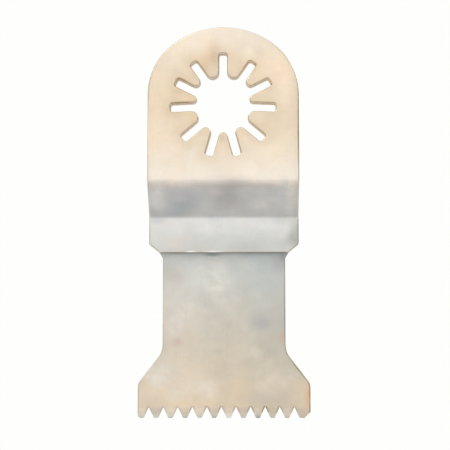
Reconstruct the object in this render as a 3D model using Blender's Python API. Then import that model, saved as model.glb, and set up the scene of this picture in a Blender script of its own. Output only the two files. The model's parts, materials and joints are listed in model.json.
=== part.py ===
"""End-cut saw blade for an oscillating multi tool: a stamped, Z-bent arbor shank with a star
hole, a bi-metal blade welded behind its lower flat, a separate hard tip on every tooth, and the
spot-weld nuggets that hold shank and blade together.

The blade stands on its teeth. +X runs across the blade, +Z runs from the teeth to the arbor end,
and the front, the side that meets the machine's hub, faces -Y. The origin is the middle of the
footprint of the whole part, at the level of the tooth tips. Dimensions are in millimetres with
Y = 0 on the front face of the mount plate; to_metres() centres the depth and converts.
"""
import math

import bmesh
import bpy
from mathutils import Vector

MILLIMETRE = 0.001
GAP = 0.3                 # clearance kept between neighbouring solids (weld metal fills it in life)
OVERSHOOT = 1.0           # how far blanks and cutters run past the faces they trim

# ---- arbor shank: carrier plate ----------------------------------------------------------------
SHANK_T = 2.0             # sheet thickness
SHANK_W = 29.6            # width of the plate
TOP_Z = 76.45             # arbor end above the tooth tips
CROWN_R = 16.3            # the arbor end is a three-centred arch: a flatter crown between shoulders
CROWN_HALF_ANGLE = 34.5   # degrees of crown either side of the middle
CROWN_STEPS = 14          # segments in each of the three arcs
BEND_TOP_Z = 45.5         # virtual corner of the front face where the slope leaves the mount plate
BEND_LOW_Z = 39.5         # virtual corner where the slope meets the lower flat
STEP_Y = 6.0              # step between the front faces of the mount plate and the lower flat
BEND_R_OUT = 1.8          # radius on the outside of a coined bend
BEND_R_IN = 0.9           # radius on the inside of a coined bend
SHANK_END_Z = 32.5        # lower edge of the shank
END_CHAMFER_X = 2.0       # cut-off corners at the lower edge
END_CHAMFER_Z = 1.6
END_CORNER_R = 0.6

# ---- star hole of the shank --------------------------------------------------------------------
ARBOR_Z = 60.85           # arbor axis above the tooth tips
STAR_TIP_R = 5.35         # circle through the tips of the tabs, the bore of the star
STAR_TIP_R_TOP = 5.75     # the two tabs either side of the top slot
STAR_TIP_R_SHORT = 6.25   # the two narrow tabs high on each side stop further out
STAR_SLOT_R = 10.35       # slots end here
STAR_SLOT_W = 1.7         # slot width
STAR_SLOT_CORNER_R = 0.5
STAR_ANGLES = (0.0, 34.75, 63.0, 92.75, 130.25, 164.25)   # degrees from +Z, mirrored about X = 0
TOP_TAB_BELOW = 20.0      # a tab whose middle is nearer +Z than this, in degrees, is a top tab
SHORT_TAB_BETWEEN = (45.0, 52.0)   # degrees from +Z that hold the middles of the narrow tabs

# ---- blade: backing steel ----------------------------------------------------------------------
BLADE_T = 1.2
BLADE_W = 34.0            # cutting width
NECK_W = 24.3
TANG_W = 26.0             # part of the blade under the shank
TANG_TOP_Z = 38.8
TANG_CORNER_R = 1.5
TANG_FOOT_Z = 32.8        # tang starts to narrow
TANG_FOOT_R = 0.5
NECK_TOP_Z = 31.5         # neck reached
NECK_TOP_R = 1.2
FLARE_TOP_Z = 13.0        # virtual corner, neck to flare
FLARE_LOW_Z = 6.7         # virtual corner, flare to the vertical sides
FLARE_TOP_R = 4.0
FLARE_LOW_R = 2.2

# ---- teeth, numbered from the left (-X) end ----------------------------------------------------
TOOTH_PITCH = 2.87
TOOTH_COUNT = 12
FIRST_GULLET_X = -14.85   # gullet beside the left end tooth
GULLET_Z = 2.25           # top of the V gullets above the tooth tips
GULLET_HALF_ANGLE = 25.0  # degrees, each flank from vertical
TIP_H = 0.9               # height of the hard tips
STUB_Z = TIP_H + GAP      # backing steel of each tooth ends here
TOOTH_SET = 0.2           # alternate bend of the teeth to the front and to the back, at the tips
END_RELIEF_X = 15.8       # right edge of the right end tooth at its tip, short of the full width

# ---- spot welds between the lower flat and the tang --------------------------------------------
WELD_COUNT = 6
WELD_PITCH = 4.0
WELD_Z = 35.7
WELD_D = 2.6              # nugget
WELD_RIM = 0.3            # chamfer on both rims of a nugget
WELD_IN_SHANK = 0.9       # nugget height inside the shank
WELD_IN_BLADE = 0.4       # nugget height inside the tang
WELD_SIDES = 28

# ---- fineness of the rounded corners, degrees per segment --------------------------------------
OUTLINE_STEP = 15.0
BEND_STEP = 8.0
STAR_STEP = 24.0
BLADE_STEP = 11.0
SHARP_ANGLE = 25.0        # edges that turn more than this stay sharp when shaded

# ---- depth positions ---------------------------------------------------------------------------
FLAT_BACK_Y = STEP_Y + SHANK_T
BLADE_FRONT_Y = FLAT_BACK_Y + GAP
BLADE_BACK_Y = BLADE_FRONT_Y + BLADE_T
DEPTH = BLADE_BACK_Y + TOOTH_SET
SHIFT_Y = -DEPTH / 2.0    # centres the whole part on Y = 0


# ---- solids ------------------------------------------------------------------------------------
def to_metres(point):
    x, y, z = point
    return (x * MILLIMETRE, (y + SHIFT_Y) * MILLIMETRE, z * MILLIMETRE)


def new_object(name, solid, material=None):
    """Turns a finished bmesh into an object in the scene."""
    bmesh.ops.recalc_face_normals(solid, faces=solid.faces)
    mesh = bpy.data.meshes.new(name)
    solid.to_mesh(mesh)
    solid.free()
    obj = bpy.data.objects.new(name, mesh)
    bpy.context.scene.collection.objects.link(obj)
    if material is not None:
        mesh.materials.append(material)
    return obj


def loft(name, rings, material=None):
    """Capped solid through rings of (x, y, z) points, all rings with the same number of points."""
    solid = bmesh.new()
    loops = [[solid.verts.new(to_metres(point)) for point in ring] for ring in rings]
    solid.faces.new(loops[0])
    solid.faces.new(loops[-1])
    for near, far in zip(loops, loops[1:]):
        for i in range(len(near)):
            j = (i + 1) % len(near)
            solid.faces.new((near[i], near[j], far[j], far[i]))
    return new_object(name, solid, material)


def plate(name, outline, front_y, back_y):
    """Extrudes an (x, z) outline along Y."""
    return loft(name, [[(x, y, z) for x, z in outline] for y in (front_y, back_y)])


def disc(name, x, z, stations, material=None):
    """Round slug along Y through (y, radius) stations."""
    turns = [2 * math.pi * k / WELD_SIDES for k in range(WELD_SIDES)]
    rings = [[(x + radius * math.cos(turn), y, z + radius * math.sin(turn)) for turn in turns]
             for y, radius in stations]
    return loft(name, rings, material)


def cut(target, cutter, operation="DIFFERENCE"):
    """Adds a boolean modifier to target and hides its cutter."""
    boolean = target.modifiers.new(cutter.name, "BOOLEAN")
    boolean.operation = operation
    boolean.solver = "EXACT"
    boolean.object = cutter
    cutter.hide_render = True
    cutter.display_type = "WIRE"


def smooth(obj):
    obj.data.shade_smooth()
    obj.data.set_sharp_from_angle(angle=math.radians(SHARP_ANGLE))


def metal(name, color, roughness):
    material = bpy.data.materials.new(name)
    material.use_nodes = True
    shader = material.node_tree.nodes["Principled BSDF"]
    shader.inputs["Base Color"].default_value = (*color, 1.0)
    shader.inputs["Metallic"].default_value = 1.0
    shader.inputs["Roughness"].default_value = roughness
    return material


def rounded(points, step_deg):
    """Closed outline from (u, v, corner radius) points, each corner turned into an arc."""
    arcs = []
    for i, (u, v, radius) in enumerate(points):
        if radius <= 0.0:
            arcs.append((u, v))
            continue
        corner = Vector((u, v))
        to_last = (Vector(points[i - 1][:2]) - corner).normalized()
        to_next = (Vector(points[(i + 1) % len(points)][:2]) - corner).normalized()
        half_angle = to_last.angle(to_next) / 2.0
        reach = radius / math.tan(half_angle)      # corner to the ends of the arc
        inward = (to_last + to_next).normalized()
        centre = corner + inward * (radius / math.sin(half_angle))
        start = corner + to_last * reach - centre
        end = corner + to_next * reach - centre
        sweep = start.angle_signed(end)            # clockwise positive
        steps = max(2, round(abs(math.degrees(sweep)) / step_deg))
        for k in range(steps + 1):
            turn = -sweep * k / steps
            cos, sin = math.cos(turn), math.sin(turn)
            arcs.append((centre.x + start.x * cos - start.y * sin,
                         centre.y + start.x * sin + start.y * cos))

    # arcs that meet end to end share a point
    same = 1e-4
    outline = []
    for point in arcs:
        if not outline or math.dist(point, outline[-1]) > same:
            outline.append(point)
    if math.dist(outline[0], outline[-1]) < same:
        outline.pop()
    return outline


# ---- arbor shank -------------------------------------------------------------------------------
def shank_outline():
    """Front view (x, z) of the shank: arched arbor end, straight sides, cut-off lower corners."""
    half = SHANK_W / 2.0
    spread = math.radians(CROWN_HALF_ANGLE)
    up = math.pi / 2
    shoulder_r = (half - CROWN_R * math.sin(spread)) / (1.0 - math.sin(spread))
    shoulder_x = half - shoulder_r
    crown_z = TOP_Z - CROWN_R
    shoulder_z = crown_z + (CROWN_R - shoulder_r) * math.cos(spread)
    arcs = (   # centre x, centre z, radius, start angle, end angle
        (shoulder_x, shoulder_z, shoulder_r, 0.0, up - spread),
        (0.0, crown_z, CROWN_R, up - spread, up + spread),
        (-shoulder_x, shoulder_z, shoulder_r, up + spread, math.pi),
    )
    points = []
    for x, z, radius, start, end in arcs:
        for k in range(1 if points else 0, CROWN_STEPS + 1):
            turn = start + (end - start) * k / CROWN_STEPS
            points.append((x + radius * math.cos(turn), z + radius * math.sin(turn), 0.0))
    points += [
        (-half, SHANK_END_Z + END_CHAMFER_Z, END_CORNER_R),
        (-half + END_CHAMFER_X, SHANK_END_Z, END_CORNER_R),
        (half - END_CHAMFER_X, SHANK_END_Z, END_CORNER_R),
        (half, SHANK_END_Z + END_CHAMFER_Z, END_CORNER_R),
    ]
    return rounded(points, OUTLINE_STEP)


def shank_section():
    """Side view (y, z) of the Z-bent sheet, front face first."""
    top = TOP_Z + OVERSHOOT
    low = SHANK_END_Z - OVERSHOOT
    bend = math.atan2(STEP_Y, BEND_TOP_Z - BEND_LOW_Z)
    lift = SHANK_T * math.tan(bend / 2.0)   # how far the back corners sit above the front ones
    return rounded([
        (0.0, top, 0.0),
        (0.0, BEND_TOP_Z, BEND_R_OUT),
        (STEP_Y, BEND_LOW_Z, BEND_R_IN),
        (STEP_Y, low, 0.0),
        (FLAT_BACK_Y, low, 0.0),
        (FLAT_BACK_Y, BEND_LOW_Z + lift, BEND_R_OUT),
        (SHANK_T, BEND_TOP_Z + lift, BEND_R_IN),
        (SHANK_T, top, 0.0),
    ], BEND_STEP)


def tab_tip_radius(middle):
    """Distance from the arbor axis to the tip of the tab whose middle is at this angle."""
    from_top = abs(middle)
    if from_top < TOP_TAB_BELOW:
        return STAR_TIP_R_TOP
    if SHORT_TAB_BETWEEN[0] < from_top < SHORT_TAB_BETWEEN[1]:
        return STAR_TIP_R_SHORT
    return STAR_TIP_R


def star_outline():
    """Star hole (x, z): parallel-sided slots, and tabs that end in a full round on the bore circle.

    The flanks of a tab diverge outwards from an apex. The round that touches both flanks with its
    tip at radius tip has the radius (tip sin(half_gap) - half_slot) / (1 - sin(half_gap)), where
    the slots lie half_gap either side of the middle of the tab.
    """
    angles = sorted({side * angle for angle in STAR_ANGLES for side in (1.0, -1.0)})
    half_slot = STAR_SLOT_W / 2.0
    points = []
    for angle, following in zip(angles, angles[1:] + [angles[0] + 360.0]):
        turn = math.radians(angle)
        for across in (-half_slot, half_slot):
            points.append((STAR_SLOT_R * math.sin(turn) + across * math.cos(turn),
                           ARBOR_Z + STAR_SLOT_R * math.cos(turn) - across * math.sin(turn),
                           STAR_SLOT_CORNER_R))
        middle = (angle + following) / 2.0
        sin_gap = math.sin(math.radians((following - angle) / 2.0))
        tab_r = (tab_tip_radius(middle) * sin_gap - half_slot) / (1.0 - sin_gap)
        apex = half_slot / sin_gap
        turn = math.radians(middle)
        points.append((apex * math.sin(turn), ARBOR_Z + apex * math.cos(turn), tab_r))
    return rounded(points, STAR_STEP)


def arbor_shank(material):
    """Bent sheet, trimmed to its front outline and pierced by the star hole."""
    half = SHANK_W / 2.0 + OVERSHOOT
    section = shank_section()
    shank = loft("arbor_shank", [[(x, y, z) for y, z in section] for x in (-half, half)], material)
    trim = plate("cut_outline", shank_outline(), -OVERSHOOT, FLAT_BACK_Y + OVERSHOOT)
    star = plate("cut_star", star_outline(), -OVERSHOOT, SHANK_T + OVERSHOOT)
    cut(shank, trim, "INTERSECT")
    cut(shank, star)
    return shank


# ---- blade and teeth ---------------------------------------------------------------------------
def gullet_x(k):
    return FIRST_GULLET_X + TOOTH_PITCH * k


def tooth_ring(k, z):
    """Section of tooth k (0 at the left end) at height z: front left, front right, back right,
    back left. Even teeth lean to the front, odd ones to the back, from the gullets down."""
    half = BLADE_W / 2.0
    drop = GULLET_Z - z
    flank = drop * math.tan(math.radians(GULLET_HALF_ANGLE))
    left = -half if k == 0 else gullet_x(k - 1) + flank
    if k < TOOTH_COUNT - 1:
        right = gullet_x(k) - flank
    elif z >= STUB_Z:
        right = half
    else:
        right = END_RELIEF_X + (half - END_RELIEF_X) * z / STUB_Z
    lean = (-1.0 if k % 2 == 0 else 1.0) * TOOTH_SET * drop / GULLET_Z
    front, back = BLADE_FRONT_Y + lean, BLADE_BACK_Y + lean
    return [(left, front, z), (right, front, z), (right, back, z), (left, back, z)]


def blade_body(material):
    """Backing steel: tang, neck, flare and the stubs of the teeth, whose lower ends are set."""
    half, neck, tang = BLADE_W / 2.0, NECK_W / 2.0, TANG_W / 2.0
    right_side = [
        (half, GULLET_Z, 0.0),
        (half, FLARE_LOW_Z, FLARE_LOW_R),
        (neck, FLARE_TOP_Z, FLARE_TOP_R),
        (neck, NECK_TOP_Z, NECK_TOP_R),
        (tang, TANG_FOOT_Z, TANG_FOOT_R),
        (tang, TANG_TOP_Z, TANG_CORNER_R),
    ]
    left_side = [(-x, z, radius) for x, z, radius in reversed(right_side)]
    upper = rounded(right_side + left_side, BLADE_STEP)
    outline = upper + [(gullet_x(k), GULLET_Z) for k in range(TOOTH_COUNT - 1)]

    solid = bmesh.new()
    front, back = [[solid.verts.new(to_metres((x, y, z))) for x, z in outline]
                   for y in (BLADE_FRONT_Y, BLADE_BACK_Y)]
    solid.faces.new(front)
    solid.faces.new(back)
    left_corner = len(upper) - 1
    for i in range(left_corner):                 # side walls, right corner to left corner
        solid.faces.new((front[i], front[i + 1], back[i + 1], back[i]))

    # tooth roots: left corner, the gullets, right corner
    front_roots = front[left_corner:] + front[:1]
    back_roots = back[left_corner:] + back[:1]
    for k in range(TOOTH_COUNT):
        root = (front_roots[k], front_roots[k + 1], back_roots[k + 1], back_roots[k])
        stub = [solid.verts.new(to_metres(point)) for point in tooth_ring(k, STUB_Z)]
        for i in range(4):
            j = (i + 1) % 4
            solid.faces.new((root[i], root[j], stub[j], stub[i]))
        solid.faces.new(stub)
    return new_object("blade_body", solid, material)


def tooth_tip(k, material):
    """Hard tip of tooth k, carrying on the flanks and the set of its stub down to the edge."""
    loft(f"tooth_tip_{k + 1:02d}", [tooth_ring(k, z) for z in (TIP_H, 0.0)], material)


# ---- spot welds --------------------------------------------------------------------------------
def spot_weld(i, shank, blade, material):
    """Nugget i, counted from the left, with a clearance pocket for it in shank and blade."""
    x = WELD_PITCH * (i - (WELD_COUNT - 1) / 2.0)
    radius = WELD_D / 2.0
    nugget_front = FLAT_BACK_Y - WELD_IN_SHANK
    nugget_back = BLADE_FRONT_Y + WELD_IN_BLADE
    pockets = (
        (shank, "shank", nugget_front - GAP, FLAT_BACK_Y + OVERSHOOT),
        (blade, "blade", BLADE_FRONT_Y - OVERSHOOT, nugget_back + GAP),
    )
    for target, label, front_y, back_y in pockets:
        stations = [(y, radius + GAP) for y in (front_y, back_y)]
        cut(target, disc(f"cut_{label}_weld_{i + 1}", x, WELD_Z, stations))
    stations = [
        (nugget_front, radius - WELD_RIM),
        (nugget_front + WELD_RIM, radius),
        (nugget_back - WELD_RIM, radius),
        (nugget_back, radius - WELD_RIM),
    ]
    smooth(disc(f"spot_weld_{i + 1}", x, WELD_Z, stations, material))


# ---- build -------------------------------------------------------------------------------------
def build():
    for old in list(bpy.data.objects):
        bpy.data.objects.remove(old, do_unlink=True)

    shank_steel = metal("shank_steel", color=(0.80, 0.71, 0.57), roughness=0.42)
    blade_steel = metal("blade_steel", color=(0.62, 0.59, 0.53), roughness=0.45)
    tip_steel = metal("tip_steel", color=(0.55, 0.54, 0.51), roughness=0.35)
    weld_metal = metal("weld_metal", color=(0.42, 0.42, 0.43), roughness=0.55)

    shank = arbor_shank(shank_steel)
    blade = blade_body(blade_steel)
    for i in range(WELD_COUNT):
        spot_weld(i, shank, blade, weld_metal)
    for k in range(TOOTH_COUNT):
        tooth_tip(k, tip_steel)
    smooth(shank)
    smooth(blade)


build()
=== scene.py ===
"""Looks of an oscillating-tool saw blade: stamped shank, blade, hard tooth tips and weld marks.

Lengths are millimetres in the row frame: +X runs across the cutting edge, +Z up from the teeth to
the shank, and the hub side (the front) faces -Y. Vertices are written in metres.
"""

import json
import math
from types import SimpleNamespace

import bpy
import numpy as np
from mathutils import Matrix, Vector
from mathutils.geometry import delaunay_2d_cdt


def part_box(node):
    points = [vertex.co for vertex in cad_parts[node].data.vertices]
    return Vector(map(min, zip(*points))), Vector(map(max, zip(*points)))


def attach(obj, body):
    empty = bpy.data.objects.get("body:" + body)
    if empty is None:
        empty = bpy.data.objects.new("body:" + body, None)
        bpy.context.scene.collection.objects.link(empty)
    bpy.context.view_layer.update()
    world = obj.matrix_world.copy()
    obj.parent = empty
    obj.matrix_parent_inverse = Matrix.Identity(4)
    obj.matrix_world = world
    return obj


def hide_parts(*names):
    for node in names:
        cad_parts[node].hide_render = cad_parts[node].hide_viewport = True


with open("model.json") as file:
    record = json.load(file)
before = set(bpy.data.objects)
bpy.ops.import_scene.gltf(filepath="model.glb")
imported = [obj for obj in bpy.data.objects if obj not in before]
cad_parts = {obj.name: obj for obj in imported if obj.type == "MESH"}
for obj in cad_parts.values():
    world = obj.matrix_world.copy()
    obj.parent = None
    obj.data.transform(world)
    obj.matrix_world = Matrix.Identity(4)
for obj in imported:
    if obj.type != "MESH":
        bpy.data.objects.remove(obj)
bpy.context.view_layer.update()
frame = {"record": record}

MM = 0.001
scene = bpy.context.scene


# ---------------------------------------------------------------------------------------------
# places and sizes
# ---------------------------------------------------------------------------------------------
def box_mm(node):
    low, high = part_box(node)
    return low / MM, high / MM


def weld_centre(number):
    low, high = box_mm(f"spot_weld_{number}")
    return (low.x + high.x) / 2, (low.z + high.z) / 2


mount_y = {m["name"]: m["pos_m"][1] / MM for m in frame["record"]["mounts"]}
SHANK_LOW, SHANK_HIGH = box_mm("arbor_shank")
BLADE_LOW, BLADE_HIGH = box_mm("blade_body")
WELDS = [weld_centre(i) for i in range(1, 7)]

# shank
FRONT_Y = mount_y["hub_seat_face"]               # front of the mount plate
SHANK_T = mount_y["clamp_washer_face"] - FRONT_Y
FLAT_BACK_Y = SHANK_HIGH.y                       # back of the lower flat
STEP_Y = FLAT_BACK_Y - SHANK_T - FRONT_Y
SHANK_W = SHANK_HIGH.x - SHANK_LOW.x
TOP_Z = SHANK_HIGH.z
SHANK_END_Z = SHANK_LOW.z
CROWN_R, CROWN_HALF_ANGLE = 16.3, 34.5
CROWN_STEPS = 30
END_CHAMFER_X, END_CHAMFER_Z, END_CORNER_R = 2.0, 1.6, 0.6

# Z-bend between the mount plate and the lower flat
BEND_TOP_Z, BEND_LOW_Z = 45.5, 39.5
BEND_R_OUT, BEND_R_IN = 1.8, 0.9
BEND_STEPS = 9
BEND = math.atan2(STEP_Y, BEND_TOP_Z - BEND_LOW_Z)
HALF_BEND_TAN = math.tan(BEND / 2.0)

# star hole: slots around the arbor, with rounded points of metal between them
ARBOR_Z = 60.85
STAR_ANGLES = (0.0, 34.75, 63.0, 92.75, 130.25, 164.25)      # from the top, on both sides
STAR_SLOT_R, STAR_SLOT_W, STAR_SLOT_CORNER_R = 10.35, 1.7, 0.5
STAR_TIP_R, STAR_TIP_R_TOP, STAR_TIP_R_SHORT = 5.35, 5.75, 6.25

# blade
BLADE_W = BLADE_HIGH.x - BLADE_LOW.x
NECK_W, TANG_W = 24.3, 26.0
TANG_TOP_Z, TANG_TOP_R = BLADE_HIGH.z, 1.5
TANG_FOOT_Z, TANG_FOOT_R = 32.8, 0.5
NECK_TOP_Z, NECK_TOP_R = 31.5, 1.2
FLARE_TOP_Z, FLARE_TOP_R = 13.0, 4.0
FLARE_LOW_Z, FLARE_LOW_R = 6.7, 2.2
BLADE_FRONT_Y = FLAT_BACK_Y + 0.04               # the sheets touch; the CAD keeps a clearance here
BACK_Y = mount_y["back_rest_face"]
BLADE_T = BACK_Y - BLADE_FRONT_Y

# teeth
TOOTH_PITCH, TOOTH_COUNT, FIRST_GULLET_X = 2.87, 12, -14.85
GULLET_Z, GULLET_HALF_ANGLE, GULLET_R = 2.25, 25.0, 0.1
FLANK_SLOPE = math.tan(math.radians(GULLET_HALF_ANGLE))
TOOTH_SET, SET_TOP_Z = 0.2, 2.05
WELD_LINE_Z = 1.05                               # joint between the blade and its tips
END_RELIEF_X, END_RELIEF_Z = 15.8, 1.2
TIP_CORNER_R, FIRST_CORNER_R = 0.3, 0.7

# (inset, depth) of the front roll, (inset, depth) of the back burr, fall-back of the torn wall
STAR_RIM = ((0.23, 0.36), (0.05, 0.05), -0.08)               # narrower towards the back
SHANK_END_RIM = ((0.13, 0.15), (0.06, 0.06), 0.03)           # crisper than the sides
SHANK_SIDE_RIM = ((0.30, 0.26), (0.06, 0.06), 0.03)
JOINT_RIM, TIP_RIM, TOOTH_RIM, BLADE_RIM_GAIN = 0.012, 0.04, 0.045, 0.155
BLADE_TEAR = 0.015
RIM_GAIN_Z, RIM_GAIN_REACH = 2.4, 1.2            # the blade's rim grows upward over this height
BURR_STEPS = 2


# ---------------------------------------------------------------------------------------------
# outlines
# ---------------------------------------------------------------------------------------------
def rounded(points, step_deg):
    """Closed outline from (x, z, corner radius) points, each corner turned into an arc."""
    out = []
    for i, (x, z, radius) in enumerate(points):
        if radius <= 0.0:
            out.append((x, z))
            continue
        corner = Vector((x, z))
        to_prev = (Vector(points[i - 1][:2]) - corner).normalized()
        to_next = (Vector(points[(i + 1) % len(points)][:2]) - corner).normalized()
        angle = to_prev.angle(to_next)
        reach = radius / math.tan(angle / 2.0)
        middle = (to_prev + to_next).normalized()
        centre = corner + middle * (radius / math.sin(angle / 2.0))
        first, last = corner + to_prev * reach - centre, corner + to_next * reach - centre
        sweep = first.angle_signed(last)
        steps = max(3, round(abs(math.degrees(sweep)) / step_deg))
        for k in range(steps + 1):
            turn = -sweep * k / steps
            cos, sin = math.cos(turn), math.sin(turn)
            out.append((centre.x + first.x * cos - first.y * sin,
                        centre.y + first.x * sin + first.y * cos))
    clean = []
    for point in out:
        if not clean or math.dist(point, clean[-1]) > 2e-3:
            clean.append(point)
    if math.dist(clean[0], clean[-1]) < 2e-3:
        clean.pop()
    return np.array(clean)


def densify(loop, longest, cuts=()):
    """Splits long edges, and splits upright edges at the heights in cuts."""
    out = []
    for start, end in zip(loop, np.roll(loop, -1, 0)):
        length = float(np.linalg.norm(end - start))
        parts = max(1, math.ceil(length / longest))
        stops = {k / parts for k in range(parts)}
        if abs(end[0] - start[0]) < 1e-6 and abs(end[1] - start[1]) > 1e-6:
            own = [(cut - start[1]) / (end[1] - start[1]) for cut in cuts]
            own = [stop for stop in own if 1e-6 < stop < 1 - 1e-6]
            stops = {s for s in stops if all(abs(s - o) * length > 0.04 for o in own)}
            stops |= set(own) | {0.0}
        out.extend(start + (end - start) * stop for stop in sorted(stops))
    return np.array(out)


def oriented(loop, anticlockwise):
    x, z = loop[:, 0], loop[:, 1]
    area = 0.5 * float(np.sum(x * np.roll(z, -1) - np.roll(x, -1) * z))
    return loop if (area > 0) == anticlockwise else loop[::-1].copy()


def inside(points, loop):
    """Even-odd test of many points against one closed outline."""
    x, z = points[:, 0][:, None], points[:, 1][:, None]
    x0, z0 = loop[:, 0][None], loop[:, 1][None]
    x1, z1 = np.roll(loop[:, 0], -1)[None], np.roll(loop[:, 1], -1)[None]
    crosses = (z0 > z) != (z1 > z)
    with np.errstate(divide="ignore", invalid="ignore"):
        crossing_x = (x1 - x0) * (z - z0) / (z1 - z0) + x0
    return (np.sum(crosses & (x < crossing_x), axis=1) % 2) == 1


def in_sheet(points, loops):
    """True inside the first outline and outside the others."""
    keep = inside(points, loops[0])
    for hole in loops[1:]:
        keep &= ~inside(points, hole)
    return keep


def edge_distance(points, loops, joint=None):
    """Distance to the nearest outline; a weld joint at height joint is no edge."""
    best = np.full(len(points), 1e9)
    for loop in loops:
        start, end = loop, np.roll(loop, -1, 0)
        if joint is not None:
            real = (np.abs(start[:, 1] - joint) > 1e-3) | (np.abs(end[:, 1] - joint) > 1e-3)
            start, end = start[real], end[real]
        edge = end - start
        length2 = np.maximum((edge ** 2).sum(1), 1e-12)
        for i in range(0, len(points), 800):
            offset = points[i:i + 800][:, None] - start[None]
            along = np.clip((offset * edge[None]).sum(2) / length2[None], 0, 1)
            near = np.linalg.norm(offset - edge[None] * along[..., None], axis=2).min(1)
            best[i:i + 800] = np.minimum(best[i:i + 800], near)
    return best


def outline_normals(loop):
    """Outward normal of each outline point and the stretch that keeps an inset even."""
    before, after = loop - np.roll(loop, 1, 0), np.roll(loop, -1, 0) - loop
    normal0 = np.c_[before[:, 1], -before[:, 0]] / np.linalg.norm(before, axis=1)[:, None]
    normal1 = np.c_[after[:, 1], -after[:, 0]] / np.linalg.norm(after, axis=1)[:, None]
    normal = normal0 + normal1
    normal /= np.maximum(np.linalg.norm(normal, axis=1), 1e-9)[:, None]
    return normal, 1.0 / np.clip((normal * normal0).sum(1), 0.5, 1.0)


# ---------------------------------------------------------------------------------------------
# sheet metal: one closed mesh with a rolled front rim, a burnished and a torn band on the cut
# wall, a small burr at the back, and gridded faces that can be bent or dished
# ---------------------------------------------------------------------------------------------
def new_object(name, vertices, faces):
    mesh = bpy.data.meshes.new(name)
    mesh.from_pydata(vertices, [], faces)
    obj = bpy.data.objects.new(name, mesh)
    scene.collection.objects.link(obj)
    return obj


def add_attribute(mesh, name, values):
    layer = mesh.attributes.new(name, "FLOAT", "POINT")
    layer.data.foreach_set("value", np.asarray(values, dtype=np.float32))


def rim_profile(roll, burr, tear, thickness, roll_steps):
    """Stations of one cut edge, front to back: inset, depth, outward and backward normal, and
    1.0 on the wall. roll and burr are (inset, depth); tear is the fall-back of the torn part."""
    def station(inset, depth, outward, backward, on_wall):
        length = math.hypot(outward, backward)
        return inset, depth, outward / length, backward / length, float(on_wall)

    profile = []
    for i in range(roll_steps + 1):
        turn = math.pi / 2 * i / roll_steps
        cos, sin = math.cos(turn), math.sin(turn)
        profile.append(station(roll[0] * (1 - sin), roll[1] * (1 - cos),
                               sin / roll[0], -(cos / roll[1]), i == roll_steps))
    wall = thickness - roll[1] - burr[1]
    profile.append(station(0.0, roll[1] + wall * 0.36, 1.0, 0.0, True))
    profile.append(station(tear, roll[1] + wall * 0.44, 1.0, 0.0, True))
    for i in range(BURR_STEPS + 1):
        turn = math.pi / 2 * i / BURR_STEPS
        cos, sin = math.cos(turn), math.sin(turn)
        profile.append(station(tear + burr[0] * (1 - cos), thickness - burr[1] * (1 - sin),
                               cos / burr[0], sin / burr[1], i == 0))
    return profile


def face_grid(rims, spacing, rows, extra, clear):
    """Staggered points inside a face, clear of its rims and of the straight rows."""
    low, high = rims[0].min(0), rims[0].max(0)
    columns = np.arange(low[0], high[0] + spacing, spacing)
    levels = np.arange(low[1], high[1] + spacing, spacing * 0.866)
    grid = np.array([(x + (0.5 * spacing if k % 2 else 0.0), z)
                     for k, z in enumerate(levels) for x in columns])
    if clear is not None:
        grid = grid[clear(grid)]
    for row in rows:
        grid = grid[np.abs(grid[:, 1] - row) > 0.3 * spacing]
    grid = np.vstack([grid, *extra])
    keep = in_sheet(grid, rims)
    keep &= edge_distance(grid, rims) > 0.3 * min(spacing, 0.5)
    return [tuple(point) for point in grid[keep]]


def sheet_triangles(corners, triangles, rims, barrier):
    """Anticlockwise triangles of the sheet. Those joined without crossing a rim form one
    region, kept or dropped as a whole."""
    first, second, third = (corners[triangles[:, i]] for i in range(3))
    area = ((second[:, 0] - first[:, 0]) * (third[:, 1] - first[:, 1])
            - (second[:, 1] - first[:, 1]) * (third[:, 0] - first[:, 0]))
    within = in_sheet((first + second + third) / 3.0, rims)
    beside = {}
    for i, triangle in enumerate(triangles):
        for j in range(3):
            edge = frozenset((int(triangle[j]), int(triangle[(j + 1) % 3])))
            if edge not in barrier:
                beside.setdefault(edge, []).append(i)
    links = [[] for _ in triangles]
    for pair in beside.values():
        if len(pair) == 2:
            links[pair[0]].append(pair[1])
            links[pair[1]].append(pair[0])
    kept = []
    done = np.zeros(len(triangles), bool)
    for start in range(len(triangles)):
        if done[start]:
            continue
        region, waiting = [], [start]
        done[start] = True
        while waiting:
            i = waiting.pop()
            region.append(i)
            for j in links[i]:
                if not done[j]:
                    done[j] = True
                    waiting.append(j)
        largest = max(region, key=lambda i: abs(area[i]))
        if within[largest] and np.abs(area[region]).sum() >= 0.01:
            kept += [tuple(triangles[i]) if area[i] >= 0 else tuple(triangles[i][::-1])
                     for i in region]
    return kept


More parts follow.
